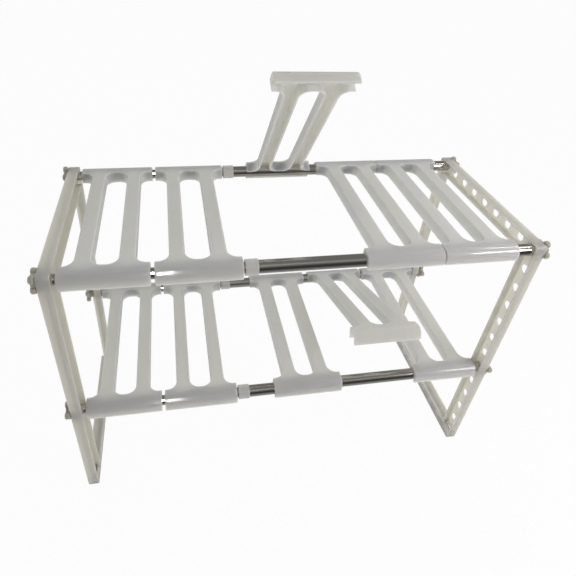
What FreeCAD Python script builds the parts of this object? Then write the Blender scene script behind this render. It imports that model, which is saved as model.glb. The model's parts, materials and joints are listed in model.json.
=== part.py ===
import FreeCAD, Part
import math
import os

# Two-tier expandable rack for the cupboard under a sink, in millimetres, +Z up.
# Two moulded end frames stand on the floor and four telescopic steel rails join them.
# Ten slatted panels clip over the rails: five on the upper tier and five on the lower.
# The origin is on the floor, midway between the frames and midway from front to rear.

# End frames
FRAME_HEIGHT = 380.0
FRAME_DEPTH = 235.0
BAR_WIDTH = 20.0
BAR_THICKNESS = 14.0
FLANGE_THICKNESS = 2.0
WEB_THICKNESS = 1.6
WEB_SETBACK = 5.9
WINDOW_RIM_THICKNESS = 2.5
WINDOW_RIM_RISE = 2.0
FOOT_WALL_THICKNESS = 2.0
FRAME_CORNER_RADIUS = 3.0
FRAME_EDGE_RADIUS = 0.8
PIN_HOLE_DIAMETER = 11.0
UPRIGHT_HOLES = 13
CROSSBAR_HOLES = 9
TIER_SPACING_HOLES = 7

# Telescopic rails and the collars on their outer tubes
OUTER_TUBE_DIAMETER = 15.0
TUBE_WALL = 0.6
TELESCOPE_CLEARANCE = 0.8
TUBE_OVERLAP = 115.0
COLLAR_LENGTH = 14.0
COLLAR_WALL = 1.5
COLLAR_EDGE_RADIUS = 0.4
COLLAR_LIP_LENGTH = 3.0
COLLAR_LIP_CLEARANCE = 0.3
SEATED_CLEARANCE = 0.05

# End plugs in the tube ends
PLUG_FLANGE_THICKNESS = 1.5
PLUG_SPIGOT_LENGTH = 12.0
PLUG_BOSS_CLEARANCE = 0.2
PLUG_BOSS_SHORTFALL = 0.5

# Thumb screws
SHANK_DIAMETER = 5.0
SHANK_CLEARANCE = 0.1
SHANK_TIP_GAP = 5.5
HUB_DIAMETER = 13.0
HUB_SEAT_GAP = 0.05
KNOB_FRAME_GAP = 0.3
KNOB_THICKNESS = 6.0
KNOB_CORE_RADIUS = 8.5
KNOB_CORE_RECESS = 1.0
LOBE_COUNT = 4
LOBE_RADIUS = 4.4
LOBE_CIRCLE_RADIUS = 9.0
LOBE_EDGE_RADIUS = 2.0

# Shelf panels
PANEL_LENGTH = 92.0
PANEL_DEPTH = 15.8
SLAT_WIDTH = 17.0
SLOT_WIDTH = 27.8
SLOT_CORNER_RADIUS = 12.0
SLOT_LEAST_STRAIGHT = 2.4
PANEL_EDGE_RADIUS = 1.6
PANEL_SKIN = 2.5
RIM_THICKNESS = 2.0
RAIL_WALL = 3.0
RAIL_LIP_THICKNESS = 1.0
RAIL_CLEARANCE = 0.3
RAIL_SKIRT = 6.5

# Places along the rails, as gaps between neighbours
PANEL_TO_LEFT_FRAME = 4.0
LEFT_PANEL_GAP = 4.0
PANEL_TO_COLLAR = 2.0
COLLAR_TO_RAISED_PANEL = 19.0
RAISED_PANEL_GAP = 10.0
UPPER_RIGHT_PANEL_GAP = 1.0
UPPER_PANEL_TO_RIGHT_FRAME = 20.0
LOWER_PANEL_TO_RIGHT_FRAME = 4.0
LOWER_RIGHT_PANEL_GAP = 4.0
LOWER_MIDDLE_PANEL_GAP = 8.5

# Angles that two of the panels are lifted by, about their rear rails
RAISED_PANEL_ANGLE = 52.5
LIFTED_PANEL_ANGLE = 19.5

# Worked-out sizes of the frames
hole_inset = BAR_WIDTH / 2
upright_pitch = (FRAME_HEIGHT - BAR_WIDTH) / (UPRIGHT_HOLES - 1)
crossbar_pitch = (FRAME_DEPTH - BAR_WIDTH) / (CROSSBAR_HOLES - 1)
hole_radius = PIN_HOLE_DIAMETER / 2

# Worked-out sizes of the rails
outer_tube_radius = OUTER_TUBE_DIAMETER / 2
outer_bore_radius = outer_tube_radius - TUBE_WALL
inner_tube_radius = outer_bore_radius - TELESCOPE_CLEARANCE
inner_bore_radius = inner_tube_radius - TUBE_WALL
rear_y = FRAME_DEPTH / 2 - hole_inset
front_y = -rear_y
upper_z = FRAME_HEIGHT - hole_inset
lower_z = upper_z - TIER_SPACING_HOLES * upright_pitch

# Worked-out sizes of the panels
rail_bore_radius = outer_tube_radius + RAIL_CLEARANCE
rail_radius = rail_bore_radius + RAIL_WALL
slot_half_length = rear_y - rail_bore_radius - RAIL_LIP_THICKNESS
slat_centre = (SLOT_WIDTH + SLAT_WIDTH) / 2
slat_outer_x = slat_centre + SLAT_WIDTH / 2
panel_half = PANEL_LENGTH / 2
middle_slot_corner = min(SLOT_CORNER_RADIUS, (SLOT_WIDTH - SLOT_LEAST_STRAIGHT) / 2)
end_slot_corner = min(SLOT_CORNER_RADIUS, panel_half - slat_outer_x - SLOT_LEAST_STRAIGHT)
inner_tube_drop = outer_tube_radius - inner_tube_radius

# The upper tier's row of panels sets how far the rack is pulled out
upper_row = [
    PANEL_TO_LEFT_FRAME,
    PANEL_LENGTH,
    LEFT_PANEL_GAP,
    PANEL_LENGTH,
    PANEL_TO_COLLAR,
    COLLAR_LENGTH,
    COLLAR_TO_RAISED_PANEL,
    PANEL_LENGTH,
    RAISED_PANEL_GAP,
    PANEL_LENGTH,
    UPPER_RIGHT_PANEL_GAP,
    PANEL_LENGTH,
    UPPER_PANEL_TO_RIGHT_FRAME,
]
frame_inner_x = sum(upper_row) / 2
web_inner_x = frame_inner_x + WEB_SETBACK
web_outer_x = web_inner_x + WEB_THICKNESS
frame_outer_x = frame_inner_x + BAR_THICKNESS
tube_end_x = web_inner_x - PLUG_FLANGE_THICKNESS

# Centres of the panels along X
left_panel_1 = -frame_inner_x + PANEL_TO_LEFT_FRAME + panel_half
left_panel_2 = left_panel_1 + PANEL_LENGTH + LEFT_PANEL_GAP
upper_panel_5 = frame_inner_x - UPPER_PANEL_TO_RIGHT_FRAME - panel_half
upper_panel_4 = upper_panel_5 - PANEL_LENGTH - UPPER_RIGHT_PANEL_GAP
upper_panel_3 = upper_panel_4 - PANEL_LENGTH - RAISED_PANEL_GAP
lower_panel_5 = frame_inner_x - LOWER_PANEL_TO_RIGHT_FRAME - panel_half
lower_panel_4 = lower_panel_5 - PANEL_LENGTH - LOWER_RIGHT_PANEL_GAP
lower_panel_3 = lower_panel_4 - PANEL_LENGTH - LOWER_MIDDLE_PANEL_GAP

# The collar is on the open end of each outer tube, beside the second panel
collar_start_x = left_panel_2 + panel_half + PANEL_TO_COLLAR
collar_end_x = collar_start_x + COLLAR_LENGTH
outer_tube_start_x = collar_start_x + COLLAR_LIP_LENGTH
inner_tube_end_x = outer_tube_start_x + TUBE_OVERLAP

X_AXIS = FreeCAD.Vector(1, 0, 0)
CUT_MARGIN = 5.0
NEAR = 1e-6

# The four rails and the four corners where each frame takes them
RAILS = {
    "upper_front": (front_y, upper_z),
    "upper_rear": (rear_y, upper_z),
    "lower_front": (front_y, lower_z),
    "lower_rear": (rear_y, lower_z),
}

# How far each thumb screw is turned from a lobe standing upright
KNOB_TURNS = {
    "left_upper_front": 45.0,
    "left_upper_rear": 20.0,
    "left_lower_front": 10.0,
    "left_lower_rear": 35.0,
    "right_upper_front": 70.0,
    "right_upper_rear": 30.0,
    "right_lower_front": 15.0,
    "right_lower_rear": 0.0,
}


def block(x_span, y_span, z_span):
    """A box between two limits along each axis."""
    corner = FreeCAD.Vector(x_span[0], y_span[0], z_span[0])
    sizes = [span[1] - span[0] for span in (x_span, y_span, z_span)]
    return Part.makeBox(sizes[0], sizes[1], sizes[2], corner)


def rod(x_span, y, z, radius):
    """A cylinder along X."""
    start = FreeCAD.Vector(x_span[0], y, z)
    return Part.makeCylinder(radius, x_span[1] - x_span[0], start, X_AXIS)


def pipe(x_span, y, z, outer_radius, inner_radius):
    """A plain tube along X."""
    bore_span = (x_span[0] - CUT_MARGIN, x_span[1] + CUT_MARGIN)
    return rod(x_span, y, z, outer_radius).cut(rod(bore_span, y, z, inner_radius))


def edges_along(shape, direction):
    """The straight edges of a shape that run along one of the axes."""
    found = []
    for edge in shape.Edges:
        if len(edge.Vertexes) != 2:
            continue
        run = edge.Vertexes[1].Point - edge.Vertexes[0].Point
        if run.cross(direction).Length < NEAR and run.Length > NEAR:
            found.append(edge)
    return found


def ring_edges(shape):
    """The full circles at the ends of a cylinder."""
    return [edge for edge in shape.Edges if len(edge.Vertexes) == 1]


def rounded_block(x_span, y_span, z_span, radius, direction):
    """A box whose four edges along one axis are rounded."""
    plain = block(x_span, y_span, z_span)
    return plain.makeFillet(radius, edges_along(plain, direction))


def frame_zone(side, near, far, inset):
    """A box through an end frame, between two distances along X and set in from its outline."""
    half = FRAME_DEPTH / 2 - inset
    x_span = sorted((side * near, side * far))
    return block(x_span, (-half, half), (inset, FRAME_HEIGHT - inset))


def pin_hole_places():
    """Places of the pin holes: full rows in the uprights, the rest in the crossbars."""
    places = []
    for y in (front_y, rear_y):
        for step in range(UPRIGHT_HOLES):
            places.append((y, upper_z - step * upright_pitch))
    for z in (hole_inset, upper_z):
        for step in range(1, CROSSBAR_HOLES - 1):
            places.append((front_y + step * crossbar_pitch, z))
    return places


def foot_top(side):
    """The top of the bar that stands on the floor, as deep as the frame."""
    half = FRAME_DEPTH / 2 - BAR_WIDTH + WINDOW_RIM_THICKNESS
    x_span = sorted((side * web_inner_x, side * frame_outer_x))
    return block(x_span, (-half, half), (BAR_WIDTH - WINDOW_RIM_THICKNESS, BAR_WIDTH))


def foot_wall(side):
    """The wall that closes the inner side of the bar that stands on the floor."""
    half = FRAME_DEPTH / 2 - FLANGE_THICKNESS
    x_span = sorted((side * frame_inner_x, side * (frame_inner_x + FOOT_WALL_THICKNESS)))
    return block(x_span, (-half, half), (FLANGE_THICKNESS, BAR_WIDTH))


def end_frame(side):
    """A moulded end frame: a flange round a thin web with pin holes, a rim round its window and a closed foot."""
    before = frame_inner_x - WINDOW_RIM_RISE - CUT_MARGIN
    beyond = frame_outer_x + CUT_MARGIN
    ring = frame_zone(side, frame_inner_x, frame_outer_x, 0.0)
    ring = ring.makeFillet(FRAME_CORNER_RADIUS, edges_along(ring, X_AXIS))
    outline_edges = [e for e in ring.Edges if e.BoundBox.XLength < NEAR]
    ring = ring.makeFillet(FRAME_EDGE_RADIUS, outline_edges)
    ring = ring.cut(frame_zone(side, before, web_inner_x, FLANGE_THICKNESS))
    ring = ring.cut(frame_zone(side, web_outer_x, beyond, FLANGE_THICKNESS))
    rim_start = frame_inner_x - WINDOW_RIM_RISE
    ring = ring.fuse(frame_zone(side, rim_start, web_outer_x, BAR_WIDTH - WINDOW_RIM_THICKNESS))
    ring = ring.fuse(foot_top(side))
    ring = ring.cut(frame_zone(side, before, beyond, BAR_WIDTH))
    through = sorted((side * before, side * beyond))
    holes = [rod(through, y, z, hole_radius) for y, z in pin_hole_places()]
    ring = ring.cut(Part.makeCompound(holes))
    return ring.fuse(foot_wall(side)).removeSplitter()


def collar(y, z):
    """The moulded collar on an outer tube's open end, with a lip that guides the inner tube."""
    outside = rod((collar_start_x, collar_end_x), y, z, outer_tube_radius + COLLAR_WALL)
    outside = outside.makeFillet(COLLAR_EDGE_RADIUS, ring_edges(outside))
    seat_span = (outer_tube_start_x, collar_end_x + CUT_MARGIN)
    seat = rod(seat_span, y, z, outer_tube_radius + SEATED_CLEARANCE)
    mouth_span = (collar_start_x - CUT_MARGIN, collar_end_x)
    mouth = rod(mouth_span, y, z, inner_tube_radius + COLLAR_LIP_CLEARANCE)
    return outside.cut(seat).cut(mouth)


def end_plug(side, y, z, tube_radius, bore_radius):
    """The plug in a tube's end: spigot, flange against the web and a boss in the pin hole."""
    boss_length = WEB_THICKNESS - PLUG_BOSS_SHORTFALL
    spans = {
        "spigot": (tube_end_x - PLUG_SPIGOT_LENGTH, tube_end_x, bore_radius - SEATED_CLEARANCE),
        "flange": (tube_end_x, web_inner_x, tube_radius),
        "boss": (web_inner_x, web_inner_x + boss_length, hole_radius - PLUG_BOSS_CLEARANCE),
    }
    plug = None
    for near, far, radius in spans.values():
        piece = rod(tuple(sorted((side * near, side * far))), y, z, radius)
        plug = piece if plug is None else plug.fuse(piece)
    bore = (-side_reach(), side_reach())
    return plug.cut(rod(bore, y, z, SHANK_DIAMETER / 2 + SHANK_CLEARANCE)).removeSplitter()


def side_reach():
    """A distance along X that lies beyond every piece."""
    return frame_outer_x + KNOB_THICKNESS + CUT_MARGIN


def thumb_screw(side, y, z, turn):
    """A four-lobed knob with a hub that bears on the web and a shank into the end plug."""
    knob_near = frame_outer_x + KNOB_FRAME_GAP
    knob_far = knob_near + KNOB_THICKNESS
    core = rod((knob_near, knob_far - KNOB_CORE_RECESS), y, z, KNOB_CORE_RADIUS)
    screw = core.fuse(rod((web_outer_x + HUB_SEAT_GAP, knob_near), y, z, HUB_DIAMETER / 2))
    shank_tip = tube_end_x - PLUG_SPIGOT_LENGTH + SHANK_TIP_GAP
    screw = screw.fuse(rod((shank_tip, knob_near), y, z, SHANK_DIAMETER / 2))
    for step in range(LOBE_COUNT):
        angle = math.radians(turn + step * 360 / LOBE_COUNT)
        lobe_y = y + LOBE_CIRCLE_RADIUS * math.sin(angle)
        lobe_z = z + LOBE_CIRCLE_RADIUS * math.cos(angle)
        lobe = rod((knob_near, knob_far), lobe_y, lobe_z, LOBE_RADIUS)
        screw = screw.fuse(lobe.makeFillet(LOBE_EDGE_RADIUS, ring_edges(lobe)))
    screw = screw.removeSplitter()
    if side < 0:
        screw = screw.mirror(FreeCAD.Vector(0, 0, 0), X_AXIS)
    return screw


def slot_cutters(z_span, grow):
    """The middle slot of a panel and the open slots at its two ends, grown outwards by a wall."""
    open_end = panel_half + 2 * (end_slot_corner + grow)
    slots = (
        (-open_end, -slat_outer_x + grow, end_slot_corner),
        (-SLOT_WIDTH / 2 - grow, SLOT_WIDTH / 2 + grow, middle_slot_corner),
        (slat_outer_x - grow, open_end, end_slot_corner),
    )
    y_span = (-slot_half_length - grow, slot_half_length + grow)
    upright = FreeCAD.Vector(0, 0, 1)
    cutters = []
    for start, end, corner in slots:
        cutters.append(rounded_block((start, end), y_span, z_span, corner + grow, upright))
    return cutters


def rail_nose(side):
    """The half of a rail beyond its tube's axis: a quarter-round crown over an upright skirt."""
    y = side * rear_y
    outer_y = y + side * rail_radius
    span = (-panel_half, panel_half)
    quarter = block(span, sorted((y, outer_y)), (0, rail_radius))
    crown = rod(span, y, 0, rail_radius).common(quarter)
    skirt = block(span, sorted((y, outer_y)), (-RAIL_SKIRT, 0))
    nose = crown.fuse(skirt).removeSplitter()
    end_edges = [e for e in nose.Edges if is_nose_end_edge(e)]
    return nose.makeFillet(PANEL_EDGE_RADIUS, end_edges)


def is_nose_end_edge(edge):
    """Whether an edge runs over an end of a rail's crown or down the outside of its skirt."""
    box = edge.BoundBox
    over_end = box.XLength < NEAR and box.ZMax > -RAIL_SKIRT + NEAR
    return over_end and abs(abs(box.YMin + box.YMax) / 2 - rear_y) > NEAR


def flat_panel():
    """A shelf panel about its own rails' height: slatted shell with a hooked rail at each end."""
    top = rail_radius
    low = top - PANEL_DEPTH
    span = (-panel_half, panel_half)
    plate = block(span, (front_y, rear_y), (low, top))
    for cutter in slot_cutters((low - CUT_MARGIN, top + CUT_MARGIN), 0.0):
        plate = plate.cut(cutter)
    rim_edges = [e for e in plate.Edges if is_top_rim_edge(e, top)]
    plate = plate.makeFillet(PANEL_EDGE_RADIUS, rim_edges)

    wide = (-panel_half - CUT_MARGIN, panel_half + CUT_MARGIN)
    hollow = block(wide, (front_y, rear_y), (low - CUT_MARGIN, top - PANEL_SKIN))
    for cutter in slot_cutters((low - 2 * CUT_MARGIN, top + CUT_MARGIN), RIM_THICKNESS):
        hollow = hollow.cut(cutter)
    shell = plate.cut(hollow).fuse([rail_nose(-1), rail_nose(1)])

    for side in (-1, 1):
        y = side * rear_y
        channel = rod(wide, y, 0, rail_bore_radius)
        mouth_y = (y - rail_bore_radius, y + rail_bore_radius)
        mouth = block(wide, mouth_y, (-RAIL_SKIRT - CUT_MARGIN, 0))
        shell = shell.cut(channel).cut(mouth)
    return shell.removeSplitter()


def is_top_rim_edge(edge, top):
    """Whether an edge borders a panel's top face, apart from where that runs on into a rail."""
    box = edge.BoundBox
    if abs(box.ZMin - top) > NEAR or abs(box.ZMax - top) > NEAR:
        return False
    return not (box.YLength < NEAR and abs(abs(box.YMin) - rear_y) < NEAR)


def placed_panel(pattern, x, z, on_inner_tube, lift):
    """A copy of the panel on its rails, lifted about its rear rail."""
    panel = pattern.copy()
    drop = inner_tube_drop if on_inner_tube else 0.0
    panel.translate(FreeCAD.Vector(x, 0, z - drop))
    panel.rotate(FreeCAD.Vector(x, rear_y, z), X_AXIS, -lift)
    return panel


def build():
    """Every piece of the rack by name."""
    pieces = {"left_end_frame": end_frame(-1), "right_end_frame": end_frame(1)}
    for rail, (y, z) in RAILS.items():
        outer_span = (outer_tube_start_x, tube_end_x)
        pieces[rail + "_outer_tube"] = pipe(outer_span, y, z, outer_tube_radius, outer_bore_radius)
        inner_span = (-tube_end_x, inner_tube_end_x)
        pieces[rail + "_inner_tube"] = pipe(inner_span, y, z, inner_tube_radius, inner_bore_radius)
        pieces[rail + "_collar"] = collar(y, z)
        pieces["left_" + rail + "_end_plug"] = end_plug(-1, y, z, inner_tube_radius, inner_bore_radius)
        pieces["right_" + rail + "_end_plug"] = end_plug(1, y, z, outer_tube_radius, outer_bore_radius)
        for name, side in (("left_" + rail, -1), ("right_" + rail, 1)):
            pieces[name + "_thumb_screw"] = thumb_screw(side, y, z, KNOB_TURNS[name])

    pattern = flat_panel()
    panels = {
        "upper_panel_1": (left_panel_1, upper_z, True, 0.0),
        "upper_panel_2": (left_panel_2, upper_z, True, 0.0),
        "upper_panel_3": (upper_panel_3, upper_z, False, RAISED_PANEL_ANGLE),
        "upper_panel_4": (upper_panel_4, upper_z, False, 0.0),
        "upper_panel_5": (upper_panel_5, upper_z, False, 0.0),
        "lower_panel_1": (left_panel_1, lower_z, True, 0.0),
        "lower_panel_2": (left_panel_2, lower_z, True, 0.0),
        "lower_panel_3": (lower_panel_3, lower_z, False, 0.0),
        "lower_panel_4": (lower_panel_4, lower_z, False, LIFTED_PANEL_ANGLE),
        "lower_panel_5": (lower_panel_5, lower_z, False, 0.0),
    }
    for name, (x, z, on_inner_tube, lift) in panels.items():
        pieces[name] = placed_panel(pattern, x, z, on_inner_tube, lift)
    return pieces


os.makedirs("parts", exist_ok=True)
for node, shape in build().items():
    if len(shape.Solids) != 1 or not shape.isValid():
        raise ValueError(node + " is not one valid solid")
    solid = shape.Solids[0]
    solid.exportStep(os.path.join("parts", node + ".step"))
    box = solid.BoundBox
    print("%-32s %10.1f mm3  x %.1f %.1f  y %.1f %.1f  z %.1f %.1f" % (
        node, solid.Volume, box.XMin, box.XMax, box.YMin, box.YMax, box.ZMin, box.ZMax))
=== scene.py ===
import json
import logging
import math
from dataclasses import dataclass
from enum import Enum
from typing import Any, Optional

import bmesh
import bpy
from mathutils import Matrix, Vector


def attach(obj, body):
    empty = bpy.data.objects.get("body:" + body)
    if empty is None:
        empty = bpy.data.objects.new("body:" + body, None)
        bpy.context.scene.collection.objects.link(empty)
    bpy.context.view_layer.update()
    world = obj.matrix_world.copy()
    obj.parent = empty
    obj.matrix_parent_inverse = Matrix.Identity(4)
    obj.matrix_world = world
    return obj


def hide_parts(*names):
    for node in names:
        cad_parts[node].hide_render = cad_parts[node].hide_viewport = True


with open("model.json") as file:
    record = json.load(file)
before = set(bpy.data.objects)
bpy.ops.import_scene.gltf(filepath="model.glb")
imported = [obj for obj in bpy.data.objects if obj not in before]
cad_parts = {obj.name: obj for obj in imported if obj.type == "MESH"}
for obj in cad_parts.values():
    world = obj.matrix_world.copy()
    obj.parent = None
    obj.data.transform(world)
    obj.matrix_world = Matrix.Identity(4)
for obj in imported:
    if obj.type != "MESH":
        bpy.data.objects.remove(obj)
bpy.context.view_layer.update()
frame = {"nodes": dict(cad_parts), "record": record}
MM = 0.001
# The Mix node's colour sockets go by number, because its sockets for other kinds share their names.
MIX_A, MIX_B, MIX_RESULT = 6, 7, 2

log = logging.getLogger("rack")


class Hue(Enum):
    """Colours of the rack and of the studio round it, as sRGB hex values."""

    PANEL_WHITE = "#CECECB"
    PANEL_SHADE = "#C9CAC4"
    FRAME_WHITE = "#BBBBB4"
    FRAME_SHADE = "#B5B4AB"
    KNOB_CREAM = "#B4B2A5"
    KNOB_SHADE = "#ACA99B"
    STEEL = "#C9C6C0"
    STEEL_SHADE = "#BDB9B2"
    PAPER = "#FEFEFE"
    LAMP_WHITE = "#FFFFFF"
    LAMP_PINK = "#FFF7F9"


def linear(hue: Hue) -> tuple[float, float, float, float]:
    """Turns a named colour into the linear RGBA that shaders take, by the sRGB curve.

    Args:
        hue: The colour.

    Returns:
        Red, green, blue and a full alpha.
    """
    parts = [int(hue.value[i:i + 2], 16) / 255 for i in (1, 3, 5)]
    red, green, blue = (c / 12.92 if c <= 0.04045 else ((c + 0.055) / 1.055) ** 2.4 for c in parts)
    return red, green, blue, 1.0


def per_metre(size_mm: float) -> float:
    """Gives the texture scale at which a pattern repeats about every size_mm."""
    return 1 / (size_mm * MM)


def add_node(tree: bpy.types.NodeTree, kind: str, settings: Optional[dict[Any, Any]] = None,
             links: Optional[dict[Any, bpy.types.NodeSocket]] = None) -> bpy.types.Node:
    """Adds one shader node, with its values and what feeds it.

    Args:
        tree: The node tree that gets the node.
        kind: Blender's name for the kind of node.
        settings: Values by property name, input name or input number.
        links: Output sockets by the name or number of the input that they feed.

    Returns:
        The new node.
    """
    node = tree.nodes.new(kind)
    for key, value in (settings or {}).items():
        if isinstance(key, int) or key in node.inputs:
            node.inputs[key].default_value = value
        else:
            setattr(node, key, value)
    for key, socket in (links or {}).items():
        tree.links.new(socket, node.inputs[key])
    return node


def new_material(name: str) -> tuple[bpy.types.Material, bpy.types.NodeTree]:
    """Makes a material whose node tree is still empty.

    Args:
        name: The material's name.

    Returns:
        The material and its node tree.
    """
    material = bpy.data.materials.new(name)
    material.use_nodes = True
    material.node_tree.nodes.clear()
    return material, material.node_tree


@dataclass(frozen=True)
class MouldedPlastic:
    """Injection-moulded plastic: semi-gloss, faintly see-through, with soft flow clouds.

    Attributes:
        name: The material's name.
        colour: The plastic's own colour.
        shade: The colour in its flow clouds, a little deeper.
        roughness: The roughness where the mould was polished.
        soak_mm: How far light soaks into the plastic, which makes thin walls glow.
        soak_shares: How much of that way red, green and blue light go.
        ior: The plastic's index of refraction.
        cloud_mm: The size of the flow clouds.
        cloud_layers: How many finer layers the clouds have.
        smears_per_cloud: How many of the dull smears left by handling fit across a cloud.
        smear_layers: How many finer layers the smears have.
        smear_grain: How strongly the finer layers of the smears show.
        smear_span: The part of the smears' range over which the gloss changes.
        smear_dulling: The roughness that a smear adds.
        peel_mm: The size of the orange peel that the mould's skin leaves.
        peel_layers: How many finer layers the orange peel has.
        peel_depth_mm: How deep the orange peel is.
        peel_strength: How strongly it turns the light.
    """

    name: str
    colour: Hue
    shade: Hue
    roughness: float
    soak_mm: float
    soak_shares: tuple[float, float, float] = (1.0, 0.97, 0.85)
    ior: float = 1.49
    cloud_mm: float = 70.0
    cloud_layers: float = 3.0
    smears_per_cloud: float = 6.0
    smear_layers: float = 6.0
    smear_grain: float = 0.65
    smear_span: tuple[float, float] = (0.3, 0.7)
    smear_dulling: float = 0.06
    peel_mm: float = 4.0
    peel_layers: float = 2.0
    peel_depth_mm: float = 0.04
    peel_strength: float = 0.6

    def material(self) -> bpy.types.Material:
        """Builds the node material.

        Returns:
            The material.
        """
        material, tree = new_material(self.name)
        place = add_node(tree, "ShaderNodeTexCoord").outputs["Object"]
        clouds = add_node(tree, "ShaderNodeTexNoise",
                          {"Scale": per_metre(self.cloud_mm), "Detail": self.cloud_layers},
                          {"Vector": place})
        tone = add_node(tree, "ShaderNodeMix",
                        {"data_type": "RGBA", MIX_A: linear(self.colour), MIX_B: linear(self.shade)},
                        {0: clouds.outputs["Fac"]})
        smears = add_node(tree, "ShaderNodeTexNoise",
                          {"Scale": per_metre(self.cloud_mm / self.smears_per_cloud),
                           "Detail": self.smear_layers, "Roughness": self.smear_grain},
                          {"Vector": place})
        gloss = add_node(tree, "ShaderNodeMapRange",
                         {"From Min": self.smear_span[0], "From Max": self.smear_span[1],
                          "To Min": self.roughness, "To Max": self.roughness + self.smear_dulling},
                         {"Value": smears.outputs["Fac"]})
        peel = add_node(tree, "ShaderNodeTexNoise",
                        {"Scale": per_metre(self.peel_mm), "Detail": self.peel_layers},
                        {"Vector": place})
        bump = add_node(tree, "ShaderNodeBump",
                        {"Strength": self.peel_strength, "Distance": self.peel_depth_mm * MM},
                        {"Height": peel.outputs["Fac"]})
        skin = add_node(tree, "ShaderNodeBsdfPrincipled",
                        {"IOR": self.ior, "Subsurface Weight": 1.0,
                         "Subsurface Scale": self.soak_mm * MM, "Subsurface Radius": self.soak_shares},
                        {"Base Color": tone.outputs[MIX_RESULT], "Roughness": gloss.outputs["Result"],
                         "Normal": bump.outputs["Normal"]})
        add_node(tree, "ShaderNodeOutputMaterial", links={"Surface": skin.outputs["BSDF"]})
        return material


@dataclass(frozen=True)
class PolishedSteel:
    """Polished stainless tube: a mirror drawn out along the tube by fine polishing lines.

    Attributes:
        name: The material's name.
        colour: The steel's colour.
        shade: Its colour along the darker polishing lines.
        roughness: The roughness along the brightest lines.
        line_dulling: The roughness that the darkest lines add.
        line_mm: The spacing of the polishing lines, coarser than the real ones so that they show.
        line_length_mm: How long a line runs.
        line_layers: How many finer layers the lines have.
    """

    name: str
    colour: Hue
    shade: Hue
    roughness: float
    line_dulling: float = 0.12
    line_mm: float = 0.8
    line_length_mm: float = 60.0
    line_layers: float = 4.0

    def material(self) -> bpy.types.Material:
        """Builds the node material.

        Returns:
            The material.
        """
        material, tree = new_material(self.name)
        place = add_node(tree, "ShaderNodeTexCoord").outputs["Object"]
        drawn = add_node(tree, "ShaderNodeMapping",
                         {"Scale": (self.line_mm / self.line_length_mm, 1.0, 1.0)}, {"Vector": place})
        lines = add_node(tree, "ShaderNodeTexNoise",
                         {"Scale": per_metre(self.line_mm), "Detail": self.line_layers},
                         {"Vector": drawn.outputs["Vector"]})
        tone = add_node(tree, "ShaderNodeMix",
                        {"data_type": "RGBA", MIX_A: linear(self.colour), MIX_B: linear(self.shade)},
                        {0: lines.outputs["Fac"]})
        gloss = add_node(tree, "ShaderNodeMapRange",
                         {"To Min": self.roughness, "To Max": self.roughness + self.line_dulling},
                         {"Value": lines.outputs["Fac"]})
        steel = add_node(tree, "ShaderNodeBsdfPrincipled", {"Metallic": 1.0},
                         {"Base Color": tone.outputs[MIX_RESULT], "Roughness": gloss.outputs["Result"]})
        add_node(tree, "ShaderNodeOutputMaterial", links={"Surface": steel.outputs["BSDF"]})
        return material


Finish = MouldedPlastic | PolishedSteel

# Polypropylene from a polished mould: milky white, thin walls that glow, narrow glints on the curves.
PANEL_PLASTIC = MouldedPlastic("white_polypropylene_panels", Hue.PANEL_WHITE, Hue.PANEL_SHADE,
                               roughness=0.07, soak_mm=13.0)
# Polypropylene from a duller mould: a satin, slightly warmer white with only broad soft lights.
FRAME_PLASTIC = MouldedPlastic("white_polypropylene_frames", Hue.FRAME_WHITE, Hue.FRAME_SHADE,
                               roughness=0.30, soak_mm=14.0)
# Polypropylene in small firm pieces: little light soaks in, so the edges of the collars stay crisp.
FITTING_PLASTIC = MouldedPlastic("white_polypropylene_fittings", Hue.PANEL_WHITE, Hue.PANEL_SHADE,
                                 roughness=0.25, soak_mm=1.5)
# Moulded nylon: a dull cream whose lobes carry no glints.
KNOB_PLASTIC = MouldedPlastic("cream_nylon_knobs", Hue.KNOB_CREAM, Hue.KNOB_SHADE,
                              roughness=0.42, soak_mm=4.0)
# Polished stainless steel: dark and light bands of the room run along the tubes, softened at their edges.
TUBE_STEEL = PolishedSteel("polished_stainless_tube", Hue.STEEL, Hue.STEEL_SHADE, roughness=0.10)


def body_of(node: str) -> str:
    """Names the body that a CAD node moves with."""
    bodies = frame["record"]["behaviour"]["bodies"]
    return next(body for body, members in bodies.items() if node in members)


def nodes_ending(*endings: str) -> list[str]:
    """Lists the CAD nodes whose names end in one of some words."""
    return sorted(name for name in frame["nodes"] if name.endswith(endings))


def dress(pieces: list[bpy.types.Object], material: bpy.types.Material) -> None:
    """Gives pieces one material in place of what they have.

    Args:
        pieces: The pieces.
        material: Their new material.
    """
    for piece in pieces:
        piece.data.materials.clear()
        piece.data.materials.append(material)


def show(nodes: list[str], finish: Finish) -> list[bpy.types.Object]:
    """Dresses CAD solids that are shown as they are.

    Args:
        nodes: The names of the CAD nodes.
        finish: What they are made of.

    Returns:
        The nodes' objects.
    """
    pieces = [frame["nodes"][node] for node in nodes]
    dress(pieces, finish.material())
    return pieces


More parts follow.
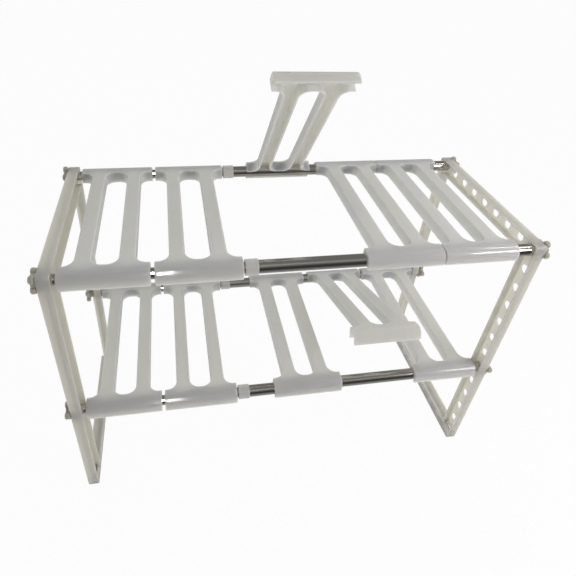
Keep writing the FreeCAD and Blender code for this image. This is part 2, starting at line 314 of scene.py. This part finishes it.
@dataclass
class Moulding:
    """A moulded piece as it leaves its tool: a node's skin with its sharp edges eased.

    Attributes:
        node: The CAD node that it stands for.
        edge_mm: The radius on its edges.
        edge_segments: How many strips go round an edge.
        merge: How near corners of the CAD mesh lie that are one corner, in metres.
        flat_angle: The turn up to which neighbouring faces are one flat face.
        sharp_angle: The turn past which an edge is eased.
        smooth_angle: The turn past which an edge still shades as sharp.
    """

    node: str
    edge_mm: float
    edge_segments: int = 2
    merge: float = 1e-6
    flat_angle: float = math.radians(0.4)
    sharp_angle: float = math.radians(40)
    smooth_angle: float = math.radians(50)

    def build(self) -> bpy.types.Object:
        """Makes the piece and lets it ride in the node's place.

        Returns:
            The new object.
        """
        skin = bmesh.new()
        skin.from_mesh(frame["nodes"][self.node].data)
        bmesh.ops.remove_doubles(skin, verts=skin.verts, dist=self.merge)
        bmesh.ops.dissolve_limit(skin, angle_limit=self.flat_angle, verts=skin.verts, edges=skin.edges)
        sharp = [e for e in skin.edges if e.is_manifold and e.calc_face_angle() > self.sharp_angle]
        bmesh.ops.bevel(skin, geom=sharp, offset=self.edge_mm * MM, offset_type="OFFSET", affect="EDGES",
                        segments=self.edge_segments, profile=0.5, material=-1, clamp_overlap=False)
        for face in skin.faces:
            face.smooth = True
        mesh = bpy.data.meshes.new(self.node + "_moulding")
        skin.to_mesh(mesh)
        skin.free()
        mesh.set_sharp_from_angle(angle=self.smooth_angle)
        piece = bpy.data.objects.new(mesh.name, mesh)
        bpy.context.scene.collection.objects.link(piece)
        weighted = piece.modifiers.new("even_shading", "WEIGHTED_NORMAL")
        weighted.keep_sharp = True
        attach(piece, body_of(self.node))
        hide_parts(self.node)
        return piece


def mould(nodes: list[str], edge_mm: float, finish: Finish) -> list[bpy.types.Object]:
    """Makes mouldings of one kind and dresses them.

    Args:
        nodes: The CAD nodes that they stand for.
        edge_mm: The radius on their edges.
        finish: What they are made of.

    Returns:
        The new objects.
    """
    pieces = [Moulding(node, edge_mm).build() for node in nodes]
    dress(pieces, finish.material())
    return pieces


@dataclass
class EndFrames:
    """The two moulded end frames.

    Attributes:
        edge_mm: The radius on their edges.
        finish: What they are made of.
    """

    edge_mm: float = 0.5
    finish: Finish = FRAME_PLASTIC

    def build(self) -> list[bpy.types.Object]:
        """Makes and dresses the frames."""
        return mould(nodes_ending("_end_frame"), self.edge_mm, self.finish)


@dataclass
class Rails:
    """The telescopic tubes with their collars and end plugs, whose solids are shown as they are.

    Attributes:
        tube_finish: What the tubes are made of.
        fitting_finish: What the collars and end plugs are made of.
    """

    tube_finish: Finish = TUBE_STEEL
    fitting_finish: Finish = FITTING_PLASTIC

    def build(self) -> list[bpy.types.Object]:
        """Dresses the rails."""
        tubes = show(nodes_ending("_tube"), self.tube_finish)
        return tubes + show(nodes_ending("_collar", "_end_plug"), self.fitting_finish)


@dataclass
class ShelfPanels:
    """The clip-on slatted panels of both tiers.

    Attributes:
        edge_mm: The radius on their edges.
        finish: What they are made of.
    """

    edge_mm: float = 0.4
    finish: Finish = PANEL_PLASTIC

    def build(self) -> list[bpy.types.Object]:
        """Makes and dresses the panels."""
        nodes = [node for node in sorted(frame["nodes"]) if "_panel_" in node]
        return mould(nodes, self.edge_mm, self.finish)


@dataclass
class ThumbScrews:
    """The four-lobed thumb screws on the frames' outer faces, whose solids are shown as they are.

    Attributes:
        finish: What they are made of.
    """

    finish: Finish = KNOB_PLASTIC

    def build(self) -> list[bpy.types.Object]:
        """Dresses the screws."""
        return show(nodes_ending("_thumb_screw"), self.finish)


@dataclass(frozen=True)
class Lamp:
    """A soft rectangular lamp aimed at the rack, which reflections don't show.

    Attributes:
        name: The lamp's name.
        azimuth: Its bearing from the rack's front, towards the right, in degrees.
        elevation: Its height above the horizon, in degrees.
        distance: How far it stands from the aim point, in metres.
        width: Its width, in metres.
        height: Its height, in metres.
        power: Its power, in watts.
        hue: Its colour.
    """

    name: str
    azimuth: float
    elevation: float
    distance: float
    width: float
    height: float
    power: float
    hue: Hue = Hue.LAMP_WHITE

    def build(self, aim: Vector) -> None:
        """Makes the lamp.

        Args:
            aim: The point that it faces.
        """
        turn, rise = math.radians(self.azimuth), math.radians(self.elevation)
        away = Vector((math.sin(turn) * math.cos(rise), -math.cos(turn) * math.cos(rise), math.sin(rise)))
        data = bpy.data.lights.new(self.name, "AREA")
        data.shape = "RECTANGLE"
        data.size, data.size_y = self.width, self.height
        data.energy = self.power
        data.color = linear(self.hue)[:3]
        lamp = bpy.data.objects.new(self.name, data)
        lamp.location = aim + away * self.distance
        lamp.rotation_euler = away.to_track_quat("Z", "Y").to_euler()
        lamp.visible_glossy = False
        bpy.context.scene.collection.objects.link(lamp)


def flat_sheet(name: str, size: tuple[float, float], place: Matrix) -> bpy.types.Object:
    """Makes a flat rectangle.

    Args:
        name: The object's name.
        size: Its two side lengths, in metres.
        place: Where it goes from the origin.

    Returns:
        The object.
    """
    sheet = bmesh.new()
    scale = Matrix.Diagonal((size[0] / 2, size[1] / 2, 1.0, 1.0))
    bmesh.ops.create_grid(sheet, x_segments=1, y_segments=1, size=1.0, matrix=place @ scale)
    mesh = bpy.data.meshes.new(name)
    sheet.to_mesh(mesh)
    sheet.free()
    made = bpy.data.objects.new(name, mesh)
    bpy.context.scene.collection.objects.link(made)
    return made


@dataclass(frozen=True)
class Card:
    """A studio card or window that only reflections see, for the tubes' bands and the rails' glints.

    Attributes:
        name: The card's name.
        centre: Its middle, in metres.
        size: Its two side lengths, in metres.
        tilt: Its turn about X from lying flat, in degrees.
        level: Its brightness, where 1 is white.
    """

    name: str
    centre: tuple[float, float, float]
    size: tuple[float, float]
    tilt: float
    level: float

    def build(self) -> None:
        """Makes the card."""
        material, tree = new_material(self.name)
        glow = add_node(tree, "ShaderNodeEmission", {"Strength": self.level})
        add_node(tree, "ShaderNodeOutputMaterial", links={"Surface": glow.outputs["Emission"]})
        card = flat_sheet(self.name, self.size, Matrix.Translation(self.centre)
                          @ Matrix.Rotation(math.radians(self.tilt), 4, "X"))
        dress([card], material)
        card.visible_camera = False
        card.visible_diffuse = False
        card.visible_shadow = False
        card.visible_transmission = False


@dataclass
class Studio:
    """The camera, the lamps and the white surroundings.

    Attributes:
        camera_place: Where the camera stands, in metres.
        camera_azimuth: How far it looks to the right of straight back, in degrees.
        camera_elevation: How far it looks down, in degrees.
        camera_roll: Its turn about its own line of sight, in degrees.
        camera_clip: The nearest and the farthest distance that it sees, in metres.
        focal_length_mm: The focal length of its lens.
        sensor_mm: The width of its film.
        shift: The shift of its lens across and up, as shares of the film's width.
        floor_size: The length of the floor's sides, in metres.
        floor_drop: How far the floor lies under the rack's feet, in metres.
        floor_glow: The share of plain white in the floor as seen, where the rest takes shadows.
        sky_light: The level of the plain light from all round.
        sky_lean: How much that level rises towards the right, the rear and the top.
        aim: The point that the lamps face, in metres.
        lamps: The lamps; the light table lies just above the floor and lights the undersides.
        cards: Dark and grey cards all round, then three bright windows.
    """

    camera_place: tuple[float, float, float] = (-0.1448, -0.5025, 0.6967)
    camera_azimuth: float = 11.918
    camera_elevation: float = 34.686
    camera_roll: float = 3.986
    camera_clip: tuple[float, float] = (0.01, 50.0)
    focal_length_mm: float = 30.307
    sensor_mm: float = 36.0
    shift: tuple[float, float] = (0.0517, -0.0998)
    floor_size: float = 12.0
    floor_drop: float = 0.0003
    floor_glow: float = 0.96
    sky_light: float = 0.56
    sky_lean: tuple[float, float, float] = (-0.22, 0.46, -0.04)
    aim: tuple[float, float, float] = (0.0, 0.0, 0.25)
    lamps: tuple[Lamp, ...] = (
        Lamp("right_softbox", azimuth=52.0, elevation=26.0, distance=0.9,
             width=0.5, height=0.5, power=3.0, hue=Hue.LAMP_PINK),
        Lamp("overhead", azimuth=75.0, elevation=58.0, distance=1.1, width=0.8, height=0.6, power=1.5),
        Lamp("light_table", azimuth=0.0, elevation=-90.0, distance=0.2502,
             width=3.0, height=3.0, power=9.0),
    )
    cards: tuple[Card, ...] = (
        Card("front_wall_card", (0.0, -1.8, 0.425), size=(8.0, 0.85), tilt=90.0, level=0.06),
        Card("front_middle_card", (0.0, -1.8, 1.275), size=(8.0, 0.85), tilt=90.0, level=0.20),
        Card("front_upper_card", (0.0, -1.5, 1.95), size=(8.0, 0.78), tilt=40.0, level=0.40),
        Card("ceiling_card", (0.0, 0.7, 2.2), size=(8.0, 3.8), tilt=0.0, level=0.22),
        Card("back_card", (0.0, 2.6, 1.1), size=(8.0, 2.2), tilt=90.0, level=0.22),
        Card("front_mat", (0.0, -1.21, 0.001), size=(8.0, 1.18), tilt=0.0, level=0.05),
        Card("near_mat", (0.0, -0.46, 0.001), size=(8.0, 0.32), tilt=0.0, level=0.20),
        Card("under_mat", (0.0, 1.15, 0.001), size=(8.0, 2.90), tilt=0.0, level=0.40),
        Card("front_window", (-0.19, -1.09, 1.24), size=(0.065, 1.0), tilt=48.0, level=28.0),
        Card("right_window", (0.96, -0.92, 0.93), size=(0.28, 0.30), tilt=55.0, level=18.0),
        Card("right_skylight", (0.97, -0.17, 1.37), size=(0.16, 0.15), tilt=0.0, level=16.0),
    )

    def build(self) -> None:
        """Sets up the whole studio."""
        scene = bpy.context.scene
        scene.view_settings.view_transform = "Standard"
        scene.camera = self.camera()
        self.surroundings()
        self.floor()
        for lamp in self.lamps:
            lamp.build(Vector(self.aim))
        for card in self.cards:
            card.build()

    def camera(self) -> bpy.types.Object:
        """Makes the camera.

        Returns:
            The camera's object.
        """
        data = bpy.data.cameras.new("camera")
        data.sensor_fit = "HORIZONTAL"
        data.sensor_width = self.sensor_mm
        data.lens = self.focal_length_mm
        data.shift_x, data.shift_y = self.shift
        data.clip_start, data.clip_end = self.camera_clip
        camera = bpy.data.objects.new("camera", data)
        turn = Matrix.Rotation(-math.radians(self.camera_azimuth), 4, "Z")
        rise = Matrix.Rotation(math.radians(90 - self.camera_elevation), 4, "X")
        roll = Matrix.Rotation(math.radians(self.camera_roll), 4, "Z")
        camera.matrix_world = Matrix.Translation(self.camera_place) @ turn @ rise @ roll
        bpy.context.scene.collection.objects.link(camera)
        return camera

    def seen_directly(self, tree: bpy.types.NodeTree) -> bpy.types.NodeSocket:
        """Adds the nodes that tell rays which show a surface from those which only light others.

        Args:
            tree: The node tree that gets them.

        Returns:
            A socket that is 1 for camera, glossy and transmission rays.
        """
        path = add_node(tree, "ShaderNodeLightPath")
        first = add_node(tree, "ShaderNodeMath", {"operation": "MAXIMUM"},
                         {0: path.outputs["Is Camera Ray"], 1: path.outputs["Is Glossy Ray"]})
        second = add_node(tree, "ShaderNodeMath", {"operation": "MAXIMUM"},
                          {0: first.outputs[0], 1: path.outputs["Is Transmission Ray"]})
        return second.outputs[0]

    def surroundings(self) -> None:
        """Makes the world: white where it is seen, and elsewhere a grey light that leans one way."""
        world = bpy.data.worlds.new("surroundings")
        world.use_nodes = True
        tree = world.node_tree
        tree.nodes.clear()
        bearing = add_node(tree, "ShaderNodeTexCoord").outputs["Generated"]
        lean = add_node(tree, "ShaderNodeVectorMath", {"operation": "DOT_PRODUCT", 1: self.sky_lean},
                        {0: bearing})
        level = add_node(tree, "ShaderNodeMath", {"operation": "ADD", 1: self.sky_light},
                         {0: lean.outputs["Value"]})
        light = add_node(tree, "ShaderNodeBackground", {"Color": linear(Hue.LAMP_WHITE)},
                         {"Strength": level.outputs["Value"]})
        white = add_node(tree, "ShaderNodeBackground", {"Color": linear(Hue.PAPER), "Strength": 1.0})
        both = add_node(tree, "ShaderNodeMixShader",
                        links={0: self.seen_directly(tree), 1: light.outputs[0], 2: white.outputs[0]})
        add_node(tree, "ShaderNodeOutputWorld", links={"Surface": both.outputs[0]})
        bpy.context.scene.world = world

    def floor(self) -> None:
        """Makes the pale floor, which keeps a faint shadow under the rack."""
        material, tree = new_material("white_floor")
        paper = add_node(tree, "ShaderNodeBsdfDiffuse", {"Color": linear(Hue.PAPER)})
        glow = add_node(tree, "ShaderNodeEmission", {"Color": linear(Hue.PAPER), "Strength": 1.0})
        share = add_node(tree, "ShaderNodeMath", {"operation": "MULTIPLY", 1: self.floor_glow},
                         {0: self.seen_directly(tree)})
        both = add_node(tree, "ShaderNodeMixShader",
                        links={0: share.outputs[0], 1: paper.outputs[0], 2: glow.outputs[0]})
        add_node(tree, "ShaderNodeOutputMaterial", links={"Surface": both.outputs[0]})
        place = Matrix.Translation((0.0, 0.0, -self.floor_drop))
        floor = flat_sheet("floor", (self.floor_size, self.floor_size), place)
        dress([floor], material)


def main() -> None:
    """Builds and dresses the rack, then the studio round it."""
    logging.basicConfig(level=logging.INFO, format="%(name)s: %(message)s")
    for assembly in (EndFrames(), Rails(), ShelfPanels(), ThumbScrews()):
        for piece in assembly.build():
            log.info("%s: %s, %d faces", type(assembly).__name__, piece.name, len(piece.data.polygons))
    Studio().build()


if __name__ == "__main__":
    main()
